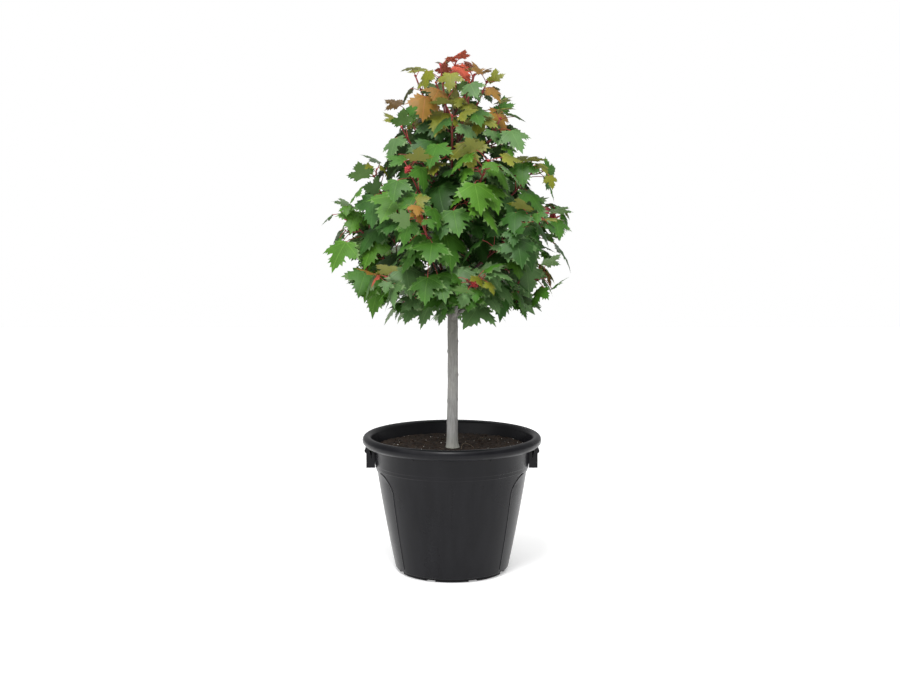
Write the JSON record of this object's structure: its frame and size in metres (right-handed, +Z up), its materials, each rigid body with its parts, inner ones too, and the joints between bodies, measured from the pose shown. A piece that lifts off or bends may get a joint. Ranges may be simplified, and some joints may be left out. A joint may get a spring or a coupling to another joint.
{
  "type": "potted red maple",
  "caption": "Young red maple tree with a straight trunk and a leafy conical crown, growing in a round black nursery pot with side grips.",
  "frame": {"origin": "centre of the pot's flat underside", "axes": "+Z up along the trunk, +X through the right-hand grip lug, -Y towards the front"},
  "size_m": [0.6304, 0.5979, 1.3285],
  "materials": {
    "black_plastic": "moulded, slightly glossy",
    "potting_soil": "rough, damp",
    "grey_bark": "smooth young bark",
    "leaf_green": "satin leaf"
  },
  "bodies": {
    "root": {"pot": "black_plastic", "lug_right": "black_plastic", "lug_left": "black_plastic", "soil": "potting_soil", "trunk": "grey_bark", "bough_skirt_1": "grey_bark", "bough_skirt_2": "grey_bark", "bough_skirt_3": "grey_bark", "bough_skirt_4": "grey_bark", "bough_skirt_5": "grey_bark", "bough_skirt_6": "grey_bark", "bough_lower_1": "grey_bark", "bough_lower_2": "grey_bark", "bough_lower_3": "grey_bark", "bough_lower_4": "grey_bark", "bough_lower_5": "grey_bark", "bough_lower_6": "grey_bark", "bough_middle_1": "grey_bark", "bough_middle_2": "grey_bark", "bough_middle_3": "grey_bark", "bough_middle_4": "grey_bark", "bough_middle_5": "grey_bark", "bough_middle_6": "grey_bark", "foliage_skirt_1": "leaf_green", "foliage_skirt_2": "leaf_green", "foliage_skirt_3": "leaf_green", "foliage_skirt_4": "leaf_green", "foliage_skirt_5": "leaf_green", "foliage_skirt_6": "leaf_green", "foliage_lower_1": "leaf_green", "foliage_lower_2": "leaf_green", "foliage_lower_3": "leaf_green", "foliage_lower_4": "leaf_green", "foliage_lower_5": "leaf_green", "foliage_lower_6": "leaf_green", "foliage_middle_1": "leaf_green", "foliage_middle_2": "leaf_green", "foliage_middle_3": "leaf_green", "foliage_middle_4": "leaf_green", "foliage_middle_5": "leaf_green", "foliage_middle_6": "leaf_green", "foliage_upper_1": "leaf_green", "foliage_upper_2": "leaf_green", "foliage_upper_3": "leaf_green", "foliage_upper_4": "leaf_green", "foliage_upper_5": "leaf_green", "foliage_upper_6": "leaf_green", "foliage_top_1": "leaf_green", "foliage_top_2": "leaf_green", "foliage_top_3": "leaf_green", "foliage_top_4": "leaf_green", "foliage_top_5": "leaf_green", "foliage_crest_1": "leaf_green", "foliage_crest_2": "leaf_green", "foliage_crest_3": "leaf_green", "foliage_leader": "leaf_green"}
  },
  "joints": []
}
